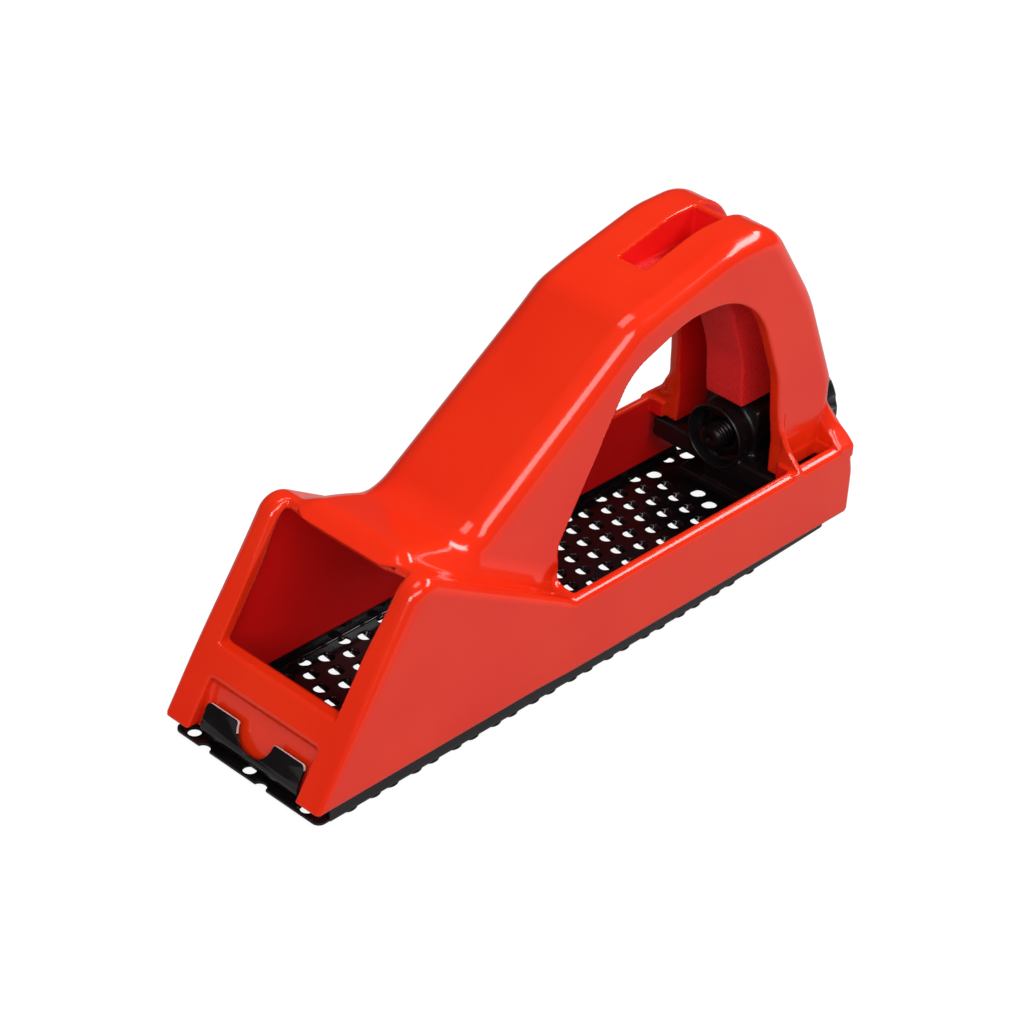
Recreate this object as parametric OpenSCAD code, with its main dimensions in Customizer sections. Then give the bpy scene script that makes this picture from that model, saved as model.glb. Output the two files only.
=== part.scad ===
// Small one-hand rasp plane: a moulded body with a hand loop, a punched rasp
// blade hooked under it, and a screw-driven slider that pulls the blade tight.
// Frame: X runs from the toe to the heel, Y across, Z up from the tooth tips, and
// the origin lies under the middle of the overall length.

/* [Body] */
// Length of the body along the sole
body_l = 153.5; // [146:0.5:162]
// Width of the body
body_w = 43; // [41:0.5:46]
// Height of the side walls above their lower edge
wall_h = 17; // [15:0.5:20]
// Thickness of the moulded walls
wall_t = 2.6; // [2:0.1:3.2]
// Lower edge of the side walls above the tooth tips
body_z = 4.2; // [3.8:0.1:5]
// Lean of the front face back from upright, in degrees
front_lean = 31; // [27:1:35]
// Height of the nose crest above the lower edge
crest_h = 43; // [40:0.5:46]
// Distance from the toe to where the shoulders meet the side walls
shoulder_x = 68; // [64:0.5:72]

/* [Window and blade recess] */
// Width of the window in the front face
window_w = 31.6; // [26:0.2:33]
// Height of the window's lower edge above the lower edge of the body
window_z1 = 15.7; // [14:0.1:18]
// Height of the window's upper edge above the lower edge of the body
window_z2 = 37.5; // [32:0.1:38]
// Width of the recess that takes the blade's front lip
recess_w = 29.6; // [29:0.2:31]
// Height of that recess
recess_h = 9.6; // [8.5:0.1:11]
// Depth of that recess behind the front face, at its upper end
recess_d = 2.2; // [2:0.1:2.8]

/* [Handle] */
// Width of the handle
handle_w = 29; // [27:0.5:32]
// Height of the crown's front bend above the lower edge
bend_h = 68.2; // [64:0.2:70]
// Distance from the toe to that bend
bend_x = 90; // [86:0.5:93]
// Rise of the crown from the bend to the rear, in degrees
crown_rise = 12; // [9:0.5:14]
// Lean of the handle's rear edge forward from upright, in degrees
rear_lean = 24.5; // [22:0.5:27]
// Radius of the crown's rear corner
crown_r = 20; // [16:0.5:22]
// Highest point of the hand loop above the lower edge
loop_h = 62; // [59:0.2:62.4]
// Distance from the loop's rear edge to the heel
loop_back = 17.9; // [17:0.1:20]
// Distance from the pocket's rear end to the heel
pocket_back = 29.7; // [28:0.1:32]
// Width of the pocket in the crown
pocket_w = 7; // [6:0.1:8]
// Length of the pocket along the crown
pocket_l = 22; // [18:0.5:23]
// Thickness of the central rib's side walls
rib_t = 1.5; // [1.2:0.1:2]

/* [Blade] */
// Width of the blade
blade_w = 41.4; // [40:0.1:41.8]
// Thickness of the blade's steel
blade_t = 0.6; // [0.5:0.05:0.7]
// How far the teeth stand below the sheet
tooth_h = 0.8; // [0.6:0.05:0.9]
// Front edge of the blade from the toe
blade_x1 = 2.3; // [2:0.1:2.6]
// Distance from the blade's rear lip to the heel
blade_back = 6.1; // [5.9:0.1:7.5]
// Distance from the toe to where the blade starts to rise
blade_bend_x = 100; // [94:1:106]
// Rise of the blade at its rear lip
blade_rise = 1.5; // [1:0.1:1.8]
// Pitch of the teeth along the blade
tooth_px = 10.73; // [10:0.01:12]
// Pitch of the teeth across the blade
tooth_py = 15.65; // [15:0.01:17]
// Diameter of the punched holes
hole_d = 2.9; // [2.5:0.1:3]
// Turn of each tooth about its hole, towards the near side, in degrees
tooth_skew = 22; // [10:1:35]
// Width of the lips at both ends of the blade
lip_w = 26.6; // [24:0.2:27.6]
// Width of the half-round notch in each lip
notch_w = 9.6; // [8.5:0.1:10.5]

/* [Tension screw and slider] */
// Height of the screw axis above the lower edge of the body
screw_z = 16.9; // [16.7:0.1:17.5]
// Outside diameter of the thread
screw_d = 6; // [5:0.5:6]
// Thread pitch
screw_pitch = 1; // [0.8:0.05:1.25]
// Radial running clearance between the screw and what it turns in
run_gap = 0.08; // [0.05:0.01:0.1]
// Gap between the slider and the body or blade that it passes
slide_gap = 0.3; // [0.3:0.05:0.4]
// Diameter of the round cup around the screw's free end
cup_d = 14.8; // [13.6:0.2:15.4]
// Distance from the cup's front edge to the heel
cup_back = 20.7; // [20.2:0.1:21.6]
// Depth of the cup
cup_depth = 7.5; // [7:0.1:8.5]
// Thickness of the slider's crossbar and wings
wing_t = 4.6; // [4:0.1:5]
// Thickness of the slider's foot
foot_t = 2.2; // [1.8:0.1:2.6]
// Gap between the slider's wings and the side walls
wing_gap = 0.7; // [0.5:0.1:1]
// Size of the nut across its flats
nut_af = 10; // [9.5:0.1:10.4]
// Thickness of the nut
nut_t = 4; // [3.2:0.1:4.4]
// Diameter of the knob
knob_d = 24.4; // [22:0.2:26]
// Thickness of the knob's rim
knob_t = 5; // [4:0.1:6]
// Number of finger flutes around the knob
flutes = 12; // [8:1:16]

/* [Hidden] */
$fn = 64;
eps = 0.01;
big = 200;
rim_z = body_z + wall_h;
axis_z = body_z + screw_z;
sheet_z = tooth_h;
sheet_top = sheet_z + blade_t;
lean = tan(front_lean);
toe_x = 0.5;
rear_tan = tan(rear_lean);
foot_z = body_z + 13.3;
box_z = body_z + 25.3;
inner_w = body_w - 2 * wall_t;
handle_in = handle_w - 2 * wall_t;
rear_in = body_l - wall_t;
blade_x2 = body_l - blade_back;
cup_x = body_l - cup_back;
loop_x1 = 71.5;
loop_x2 = body_l - loop_back;
pocket_x2 = body_l - pocket_back;
pocket_x1 = pocket_x2 - pocket_l;
web_t = 1.5;
lip_gap = 0.3;
lip_run = 2.7;
washer_t = 1;
washer_d = 14;
rib_w = pocket_w + 2 * rib_t;
knob_hub = 1.4;
knob_dome = 1;
knob_x = body_l + washer_t + 0.1;
mid_x = (toe_x + knob_x + knob_hub + knob_t + knob_dome) / 2;

// Geometry helpers: a polygon whose corners are [x, z, radius]
function unit(v) = v / norm(v);
function turn(d) = d > 180 ? d - 360 : (d < -180 ? d + 360 : d);
function xy(p) = [p[0], p[1]];
function arc_at(o, r, a, d, n) = [for (k = [0:n]) o + r * [cos(a + d * k / n), sin(a + d * k / n)]];
function corner(a, b, c, r, n) =
    let (u = unit(a - b), w = unit(c - b), half = acos(u * w) / 2)
    let (o = b + unit(u + w) * r / sin(half), s = b + u * r / tan(half), e = b + w * r / tan(half))
    let (a0 = atan2(s[1] - o[1], s[0] - o[0]), a1 = atan2(e[1] - o[1], e[0] - o[0]))
    arc_at(o, r, a0, turn(a1 - a0), n);
function rounded(p, n = 8) =
    let (m = len(p))
    [for (i = [0:m - 1]) each p[i][2] == 0 ? [xy(p[i])]
        : corner(xy(p[(i + m - 1) % m]), xy(p[i]), xy(p[(i + 1) % m]), p[i][2], n)];

// An XZ outline extruded across the part, centred on the middle plane
module across(w, p) {
    translate([0, w / 2, 0])
        rotate([90, 0, 0])
            linear_extrude(w)
                polygon(rounded(p));
}
module along_x(x, y = 0, z = 0) {
    translate([x, y, z])
        rotate([0, 90, 0])
            children();
}
// A YZ outline extruded along X
module section_x(x1, x2, p) {
    translate([x1, 0, 0])
        rotate([90, 0, 90])
            linear_extrude(x2 - x1)
                polygon(rounded(p));
}
// Distances are counted from the toe; this moves them to the part's origin
module place() {
    translate([-mid_x, 0, 0])
        children();
}

// Lines of the body that several features share
function front_x(z) = toe_x + lean * (z - body_z);
crest_z = body_z + crest_h;
crest_x = front_x(crest_z);
shoulder_slope = (crest_z - rim_z) / (shoulder_x - crest_x);
arm_slope = tan(34.4);
bend_z = body_z + bend_h;
saddle_x = bend_x - (bend_z - body_z - 36.3) / arm_slope;
saddle_z = body_z + 36.3;
heel_z = body_z + 25;
crown_x = (bend_z - heel_z - bend_x * tan(crown_rise) - body_l / rear_tan)
    / (-tan(crown_rise) - 1 / rear_tan);
crown_z = bend_z + (crown_x - bend_x) * tan(crown_rise);
loop_z = body_z + loop_h;

// Outline of the hand loop, from its front foot round to its rear foot
loop_path = [
    [loop_x1, rim_z - 4, 0],
    [loop_x1 - 0.9, rim_z + 5, 4],
    [87.6, loop_z - 6.4, 12],
    [97, loop_z - 0.4, 14],
    [loop_x2 - 11.6, loop_z + 0.8, 15],
    [loop_x2 - 1, body_z + 36, 16],
    [loop_x2, rim_z + 4, 8],
    [loop_x2, rim_z - 4, 0]];

// Body
module hood_solid() {
    across(body_w, [
        [toe_x, body_z, 0.4],
        [crest_x, crest_z, 4],
        [shoulder_x, rim_z, 3],
        [body_l, rim_z, 1.5],
        [body_l, body_z, 1]]);
}
module handle_solid() {
    across(handle_w, [
        [20, body_z + 24, 0],
        [crest_x + 1.2, crest_z - 0.9, 3.5],
        [saddle_x, saddle_z, 9],
        [bend_x, bend_z, 14],
        [crown_x, crown_z, crown_r],
        [body_l, heel_z, 3],
        [body_l, body_z + 12, 0]]);
}
module hood_hollow() {
    drop = wall_t / cos(atan(shoulder_slope));
    push = wall_t / cos(front_lean);
    across(inner_w, [
        [front_x(body_z - 4) + recess_d + push + 4.4, body_z - 4, 0],
        [front_x(body_z + 10) + push + 2, body_z + 10, 0],
        [front_x(body_z + 12) + push, body_z + 12, 0],
        [crest_x + push - lean * drop, crest_z - drop - 1, 2],
        [loop_x1 - 1, rim_z - drop - 0.4, 1],
        [loop_x1, rim_z + eps, 0],
        [loop_x2, rim_z + eps, 0],
        [loop_x2, foot_z, 0],
        [rear_in, foot_z, 0],
        [rear_in, body_z - 4, 0]]);
}
module handle_hollow() {
    across(handle_in, [
        [crest_x + 4, crest_z - 12, 0],
        [crest_x + 4.6, crest_z - 5.6, 2],
        [saddle_x + 1.2, saddle_z - wall_t - 0.6, 6],
        [bend_x + 1, bend_z - wall_t - 0.4, 12],
        [crown_x - 2.2, crown_z - wall_t - 1.2, crown_r - wall_t],
        [body_l - wall_t, heel_z - 1, 2],
        [rear_in, foot_z - 2, 0],
        [loop_x1 - 11.5, foot_z - 2, 0]]);
}
module loop_cut() {
    across(handle_w + 2 * eps, loop_path);
}
module window_cut() {
    across(window_w, [
        [front_x(body_z + window_z1) - 6, body_z + window_z1, 0],
        [front_x(body_z + window_z2) - 6, body_z + window_z2, 0],
        [front_x(body_z + window_z2) + 9, body_z + window_z2, 0],
        [front_x(body_z + window_z1) + 9, body_z + window_z1, 0]]);
}
module recess_cut() {
    across(recess_w, [
        [-4, body_z - 4, 0],
        [-4, body_z + recess_h, 0],
        [front_x(body_z + recess_h), body_z + recess_h + 0.6, 0],
        [front_x(body_z + recess_h - 1.4) + recess_d, body_z + recess_h - 1.4, 0],
        [blade_x1 + blade_t + lip_gap, sheet_z, 0],
        [blade_x1 + blade_t + lip_gap, body_z - 4, 0]]);
}
// Rails under the side walls that sit on the blade inside its flanges
module rails() {
    rail_w = 1.1;
    outer = blade_w / 2 - blade_t - 0.1;
    for (s = [-1, 1])
        translate([0, s * (outer - rail_w / 2), 0])
            across(rail_w, [
                [7, body_z + 2, 0],
                [7, sheet_top + 0.1, 0],
                [blade_bend_x, sheet_top + 0.1, 0],
                [blade_x2 - 2, sheet_top + 0.1 + blade_rise, 0],
                [blade_x2 - 2, body_z + 2, 0]]);
}
// Central rib: the side walls of the pocket and of the rear slot
module rib() {
    intersection() {
        handle_solid();
        translate([pocket_x1 - rib_t, -rib_w / 2, box_z])
            cube([body_l, rib_w, big]);
    }
}
module pocket_cut() {
    across(pocket_w, [
        [pocket_x1, loop_z + wall_t + 0.4, 0],
        [pocket_x2 - 11.8, loop_z + wall_t + 0.6, 3],
        [pocket_x2 - 5.8, loop_z + wall_t - 1.2, 3],
        [pocket_x2, loop_z + wall_t - 5.6, 0],
        [pocket_x2, crown_z + 10, 0],
        [pocket_x1, crown_z + 10, 0]]);
}
module rear_slot_cut() {
    across(pocket_w, [
        [pocket_x2 + web_t, crown_z + 10, 0],
        [pocket_x2 + web_t, loop_z + wall_t - 6, 5],
        [loop_x2 - 1 + wall_t, body_z + 37, 16],
        [loop_x2 + wall_t, box_z + 2, 0],
        [body_l + 10, box_z + 2, 0],
        [body_l + 10, crown_z + 10, 0]]);
}
// Flared feet of the cheeks: a sloping deck at the heel and a web at the loop
flare = [
    [-body_w / 2, rim_z - 3, 0],
    [-body_w / 2, rim_z - 0.4, 1.5],
    [-handle_w / 2 - 1.8, rim_z + 4.4, 3],
    [-handle_w / 2 + 1.4, rim_z + 8, 0],
    [-handle_w / 2 + 1.4, rim_z - 3, 0]];
deck_x = rear_in - 2.4;
web_x = loop_x2 - 2.8;
foot_web = 3.4;
module feet() {
    for (s = [0, 1])
        mirror([0, s, 0]) {
            section_x(deck_x, body_l, flare);
            intersection() {
                section_x(web_x, web_x + foot_web, flare);
                linear_extrude(big)
                    polygon([
                        [loop_x2, -handle_w / 2 + 1.4],
                        [loop_x2, -handle_w / 2],
                        [web_x, -inner_w / 2],
                        [web_x, -body_w / 2],
                        [web_x + foot_web, -body_w / 2],
                        [web_x + foot_web, -handle_w / 2 + 1.4]]);
            }
        }
}
// Wells beside the cheeks, open upward, over the slider's wings
module wells_cut() {
    well_w = (inner_w - handle_w) / 2 - 0.1;
    for (s = [-1, 1])
        translate([0, s * (inner_w - well_w) / 2, 0])
            across(well_w, [
                [web_x + foot_web, rim_z + 12, 0],
                [web_x + foot_web, rim_z - 0.5, 1],
                [web_x + foot_web + 2.4, foot_z - 1, 0],
                [deck_x, foot_z - 1, 0],
                [deck_x, rim_z + 12, 0]]);
}
module body() {
    color("#E03A1C")
    place()
    difference() {
        union() {
            difference() {
                union() {
                    hood_solid();
                    handle_solid();
                }
                hood_hollow();
                handle_hollow();
            }
            rib();
            rails();
            front_bar();
        }
        loop_cut();
        window_cut();
        recess_cut();
        pocket_cut();
        rear_slot_cut();
        wells_cut();
        along_x(rear_in - 5, 0, axis_z)
            cylinder(h = 12, r = screw_d / 2 + run_gap);
    }
    color("#E03A1C")
    place()
        feet();
}
// Thick lower front wall behind the recess, standing on the blade
module front_bar() {
    across(inner_w + eps, [
        [blade_x1 + 1.4, sheet_top + 0.1, 0],
        [front_x(body_z + 8) + recess_d - 0.6, body_z + 8, 0],
        [front_x(body_z + 8) + recess_d + 4, body_z + 8, 0],
        [blade_x1 + 6.4, sheet_top + 0.1, 0]]);
}

// Blade
ramp = atan(blade_rise / (blade_x2 - blade_bend_x));
flange_h = body_z - 0.1 - sheet_z;
row_n = 7;
function lattice(i, j) = [
    tooth_x0 + (4 * j - i) * tooth_px / row_n,
    tooth_y0 + (j - 2 * i) * tooth_py / row_n];
tooth_x0 = blade_x1 + 1.1;
tooth_y0 = -7.6;
edge_y = blade_w / 2 - blade_t - hole_d / 2 - 0.05;
function usable(p) = abs(p[1]) < edge_y && p[0] > blade_x1 + 3 && p[0] < blade_x2 - 6
    && !(abs(p[1]) < lip_w / 2 + 1.5 && p[0] > blade_x2 - 9.4);
teeth = [for (i = [-14:14]) for (j = [-14:60]) if (usable(lattice(i, j))) lattice(i, j)];
function sheet_lift(x) = max(0, x - blade_bend_x) * tan(ramp);

module blade_channel(len) {
    r = 1;
    rotate([90, 0, 90])
        linear_extrude(len)
            difference() {
                union() {
                    translate([-blade_w / 2 + r, 0])
                        square([blade_w - 2 * r, 6]);
                    translate([-blade_w / 2, r])
                        square([blade_w, 6]);
                    for (s = [-1, 1])
                        translate([s * (blade_w / 2 - r), r])
                            circle(r);
                }
                translate([-blade_w / 2 + blade_t, blade_t])
                    square([blade_w - 2 * blade_t, 10]);
            }
}
module blade_lip(x, dir) {
    h = 8.3;
    tip = lip_run;
    r = notch_w / 2;
    difference() {
        translate([x, lip_w / 2, sheet_z])
            rotate([90, 0, 0])
                linear_extrude(lip_w)
                    polygon([[0, 0], [dir * tip, h + blade_t], [dir * (tip + blade_t), h + blade_t],
                        [dir * (blade_t + 0.1), 0]]);
        translate([x - 5, 0, sheet_z + h + blade_t])
            rotate([0, 90, 0])
                cylinder(h = 12, r = r);
    }
}
module tooth() {
    r = hole_d / 2;
    translate([0, r * 0.7, 0])
        rotate([90, 0, 0])
            linear_extrude(r * 1.4)
                polygon([
                    [r * 1.3, blade_t * 0.8],
                    [r * 0.5, -tooth_h + 0.2],
                    [r * 0.35, -tooth_h],
                    [r * 0.6, -tooth_h],
                    [r * 1.6, 0.05]]);
}
module blade() {
    color("#1C1B1F")
    place()
    union() {
        difference() {
            union() {
                translate([blade_x1, 0, sheet_z])
                    blade_channel(blade_bend_x - blade_x1);
                translate([blade_bend_x, 0, sheet_z])
                    rotate([0, -ramp, 0])
                        blade_channel((blade_x2 - blade_bend_x) / cos(ramp));
            }
            translate([-5, -big / 2, sheet_z + flange_h])
                cube([big, big, 20]);
            translate([blade_x1 - eps, -big / 2, sheet_top + eps])
                cube([4.2, big, 20]);
            for (p = teeth)
                translate([p[0], p[1], 0])
                    cylinder(h = 4, d = hole_d, $fn = 24);
        }
        for (p = teeth)
            translate([p[0], p[1], sheet_z + sheet_lift(p[0])])
                rotate([0, 0, -tooth_skew])
                    tooth();
        blade_lip(blade_x1, 1);
        translate([0, 0, blade_rise])
            rear_lip();
    }
}
module rear_lip() {
    h = 5.2;
    difference() {
        translate([blade_x2 - blade_t, -lip_w / 2, sheet_z])
            cube([blade_t, lip_w, h]);
        along_x(blade_x2 - 3, 0, sheet_z + h)
            cylinder(h = 6, r = 3.6);
    }
}

// Slider: a round cup for the nut on a block between the cheeks, a crossbar with
// wings that run back under the feet, and a foot against the blade's rear lip
block_gap = 0.9;
block_w = handle_in - 2 * block_gap;
block_top = box_z - slide_gap - 0.5;
block_bot = body_z + 5.4;
block_x2 = rear_in - 1.4;
wing_w = inner_w - 2 * wing_gap;
wing_top = foot_z - slide_gap;
wing_bot = wing_top - wing_t - 0.6;
plate_t = 3;
bar_x = cup_x + 1.5;
foot_x1 = cup_x + 5.6;
foot_x2 = blade_x2 - blade_t - 0.2;
foot_bot = sheet_top + blade_rise + slide_gap;
foot_w = lip_w;
module slider() {
    color("#17161A")
    place()
    difference() {
        union() {
            along_x(cup_x, 0, axis_z)
                cylinder(h = cup_depth, d = cup_d);
            translate([bar_x, -wing_w / 2, wing_bot])
                cube([wing_t, wing_w, wing_top - wing_bot]);
            translate([bar_x + 2, -wing_w / 2, wing_top - plate_t])
                cube([block_x2 - bar_x - 3, wing_w, plate_t]);
            translate([foot_x1 - 3, -block_w / 2, block_bot])
                cube([block_x2 - foot_x1 + 3, block_w, block_top - block_bot]);
            translate([foot_x1 + 1, -block_w / 2, foot_bot])
                cube([foot_x2 - foot_x1 - 1, block_w, block_bot + 1 - foot_bot]);
            translate([foot_x1, -foot_w / 2, foot_bot])
                cube([foot_x2 - foot_x1, foot_w, foot_t]);
        }
        along_x(cup_x - eps, 0, axis_z)
            cylinder(h = nut_x - cup_x + 2 * eps, r1 = cup_d / 2 - 0.9, r2 = nut_af / 2 + 1.1);
        along_x(nut_x, 0, axis_z)
            cylinder(h = nut_t + 0.6, r = nut_af / 2 / cos(30) + 0.05, $fn = 6);
        along_x(cup_x, 0, axis_z)
            cylinder(h = body_l, r = screw_d / 2 + slide_gap);
    }
}
nut_x = cup_x + 2.6;

// Nut, pressed into the bottom of the slider's cup
module nut() {
    color("#3A3A40")
    place()
    along_x(nut_x + slide_gap, 0, axis_z)
        difference() {
            cylinder(h = nut_t, r = nut_af / 2 / cos(30), $fn = 6);
            translate([0, 0, -1])
                cylinder(h = nut_t + 2, r = screw_d / 2 + run_gap);
        }
}

// Washer between the knob and the rear wall
module washer() {
    color("#8E9196")
    place()
    along_x(body_l + 0.05, 0, axis_z)
        difference() {
            cylinder(h = washer_t, d = washer_d);
            translate([0, 0, -1])
                cylinder(h = washer_t + 2, r = screw_d / 2 + run_gap);
        }
}

// Screw: ridges at the thread pitch, a chamfered tip with a centre dimple
tip_x = cup_x - 1.4;
screw_end = body_l + 5.2;
thread_end = rear_in - 2;
ridges = floor((thread_end - tip_x - 1.2) / screw_pitch);
thread_h = 0.61 * screw_pitch;
module screw() {
    r = screw_d / 2;
    color("#26262B")
    place()
    along_x(tip_x, 0, axis_z)
        rotate_extrude()
            polygon(concat(
                [[0, 0.5], [0.8, 0], [r - thread_h - 0.5, 0], [r - thread_h, 0.6]],
                [for (k = [0:ridges - 1]) each [
                    [r - thread_h, 1.2 + (k + 0.1) * screw_pitch],
                    [r, 1.2 + (k + 0.45) * screw_pitch],
                    [r, 1.2 + (k + 0.6) * screw_pitch],
                    [r - thread_h, 1.2 + (k + 0.95) * screw_pitch]]],
                [[r, 1.6 + ridges * screw_pitch], [r, screw_end - tip_x], [0, screw_end - tip_x]]));
}

// Knob: a fluted rim on a hub that bears on the washer
module knob() {
    flute_r = 2.2;
    color("#151418")
    place()
    along_x(knob_x, 0, axis_z)
        difference() {
            rotate_extrude()
                polygon(rounded([
                    [0, 0, 0],
                    [6.5, 0, 0],
                    [7.5, knob_hub, 0],
                    [knob_d / 2 - 1.2, knob_hub, 0.6],
                    [knob_d / 2, knob_hub + knob_t - 0.6, 1],
                    [knob_d / 2 - 3.4, knob_hub + knob_t + 0.2, 2],
                    [0, knob_hub + knob_t + knob_dome, 0]], 4));
            for (k = [0:flutes - 1])
                rotate([0, 0, (k + 0.5) * 360 / flutes])
                    translate([knob_d / 2 + flute_r * 0.66, 0, knob_hub - 0.6])
                        cylinder(h = knob_t + 4, r = flute_r, $fn = 32);
            translate([0, 0, -1])
                cylinder(h = screw_end - knob_x + 1.05, r = screw_d / 2);
        }
}

body();
blade();
slider();
nut();
washer();
screw();
knob();
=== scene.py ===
"""A rasp plane: a moulded body with a hand loop over a punched blade, pulled tight by a screw."""
from math import acos, atan2, cos, pi, radians, sin, tan

import bpy
import numpy as np
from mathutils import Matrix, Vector


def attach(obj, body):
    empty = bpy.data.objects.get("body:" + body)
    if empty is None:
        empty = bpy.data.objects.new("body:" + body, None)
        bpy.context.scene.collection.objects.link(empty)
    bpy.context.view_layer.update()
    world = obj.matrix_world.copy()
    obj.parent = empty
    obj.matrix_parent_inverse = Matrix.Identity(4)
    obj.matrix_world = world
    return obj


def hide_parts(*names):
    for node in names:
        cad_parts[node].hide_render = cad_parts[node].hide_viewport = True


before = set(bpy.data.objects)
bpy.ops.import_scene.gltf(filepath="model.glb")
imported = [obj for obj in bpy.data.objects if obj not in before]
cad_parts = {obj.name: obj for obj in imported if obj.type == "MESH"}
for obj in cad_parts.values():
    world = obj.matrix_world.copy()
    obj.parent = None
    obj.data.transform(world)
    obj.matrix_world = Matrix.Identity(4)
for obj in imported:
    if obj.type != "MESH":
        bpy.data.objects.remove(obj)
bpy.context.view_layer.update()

# ---------------------------------------------------------------- measures
# Distances along the tool are counted in mm from the toe, heights from the
# lower edge of the side walls; HOME moves them to the part's frame.
HOME = np.array([-81.25, 0.0, 4.2])
MM = 0.001
BODY_L, BODY_HALF, RIM = 153.5, 21.47, 17.0
HANDLE_HALF = 14.8
AXIS_Z = 16.9


def front_x(z):
    """Where the leaning front face stands at a height."""
    return 0.5 + z * tan(radians(31))


# ---------------------------------------------------------------- forms and their skins
# The body's faces flow into each other with fillets that grow and fade along
# the edges, which bevels on a cut mesh can't follow. So it is made as a mould
# maker would describe it, from outlines that are joined and cut with a given
# fillet, and then skinned: the skin's points lie exactly on that form.
class Form:
    """Distance from a form's surface, and which way it grows at each point."""

    def __init__(self, value, slope=None):
        self.value, self.slope = value, slope

    def __neg__(self):
        return Form(-self.value, None if self.slope is None else -self.slope)


def both(a, b, r):
    """The common part of two forms, with its edge rounded by r."""
    r = np.maximum(r, 1e-4)
    u, w = np.maximum(a.value + r, 0), np.maximum(b.value + r, 0)
    size, top = np.hypot(u, w), np.maximum(a.value, b.value)
    value = np.minimum(-r, top) + size
    if a.slope is None:
        return Form(value)
    inv = 1 / np.maximum(size, 1e-9)
    soft = a.slope * (u * inv) + b.slope * (w * inv)
    hard = np.where(a.value > b.value, a.slope, b.slope)
    return Form(value, np.where(top < -r, hard, soft))


def joined(a, b, r):
    """Two forms as one, with the inner corner between them filled by r."""
    return -both(-a, -b, r)


def less(a, b, r):
    """A form with another cut out of it, the cut's edge rounded by r."""
    return both(a, -b, r)


def ramp(value, low, high):
    """From nought at low to one at high, starting and ending softly."""
    t = np.clip((value - low) / (high - low), 0, 1)
    return t * t * (3 - 2 * t)


def rounded(points):
    """A corner list (a, b, radius) as the start, end, centre and radius of each corner's arc."""
    corners = []
    for i, (a, b, radius) in enumerate(points):
        p = np.array((a, b), float)
        u = np.array(points[i - 1][:2], float) - p
        w = np.array(points[(i + 1) % len(points)][:2], float) - p
        u /= np.hypot(*u)
        w /= np.hypot(*w)
        radius = max(radius, 0.02)
        half = acos(max(-1.0, min(1.0, float(u @ w)))) / 2
        centre = p + (u + w) / np.hypot(*(u + w)) * radius / sin(half)
        corners.append((p + u * radius / tan(half), p + w * radius / tan(half), centre, radius))
    return corners


def outline(points, a, b, sloped):
    """Distance from a rounded outline drawn in two axes, with its two slopes."""
    corners = rounded(points)
    area = sum(points[i - 1][0] * points[i][1] - points[i][0] * points[i - 1][1]
               for i in range(len(points)))
    turn = 1.0 if area > 0 else -1.0
    a, b = np.broadcast_arrays(a, b)
    best = np.full(a.shape, 1e9, a.dtype)
    value, slope_a, slope_b = (np.zeros_like(best) for _ in range(3))

    def keep(gap, v, sa, sb):
        nonlocal best, value, slope_a, slope_b
        near = gap < best
        best, value = np.where(near, gap, best), np.where(near, v, value)
        if sloped:
            slope_a, slope_b = np.where(near, sa, slope_a), np.where(near, sb, slope_b)

    for i, (start, end, centre, radius) in enumerate(corners):
        da, db = a - centre[0], b - centre[1]
        dist = np.maximum(np.hypot(da, db), 1e-9)
        u, w = start - centre, end - centre
        side = 1.0 if (u[0] * w[1] - u[1] * w[0]) * turn > 0 else -1.0
        m = u + w
        reach = float(u @ m) / np.hypot(*u) * dist
        gap = np.where(da * m[0] + db * m[1] >= reach, np.abs(dist - radius), 1e9)
        keep(gap, side * (dist - radius), side * da / dist, side * db / dist)
        run = corners[(i + 1) % len(corners)][0] - end
        length = np.hypot(*run)
        if length < 1e-6:
            continue
        run = run / length
        out = np.array([run[1], -run[0]]) * turn
        along = (a - end[0]) * run[0] + (b - end[1]) * run[1]
        v = (a - end[0]) * out[0] + (b - end[1]) * out[1]
        on = (along >= -1e-6) & (along <= length + 1e-6)
        keep(np.where(on, np.abs(v), 1e9), v, out[0], out[1])
    return value, slope_a, slope_b


# Outlines as corners (a, b, radius): the first three seen from the side, the last from the end.
HOOD_LINE = [(0.5, 0, .4), (25.6, 42, 5.2), (68, RIM, 3), (BODY_L, RIM, 1.2), (BODY_L, 0, .8)]
HANDLE_LINE = [(24, 20, 0), (27.54, 42.1, 3.5), (45.9, 36.4, 9.5), (89, 66.8, 12.9),
               (116.5, 73.3, 25), (130.6, 73.35, 12), (144.4, 52.6, 45), (BODY_L, 30.6, 4),
               (BODY_L, 12, 0)]
LOOP_LINE = [(69.4, 25.2, 6), (88, 56.6, 12), (104, 62.2, 20), (124, 61.2, 20),
             (133.5, 37, 16), (134.4, 28, 10), (135.6, 20.5, 0)]
FLARE_LINE = [(21.47, 14, 0), (21.47, 16.7, 1.5), (17.6, 20.3, 4), (15.2, 24.8, 6),
              (14.72, 31, 0), (13, 31, 0), (13, 14, 0)]


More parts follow.
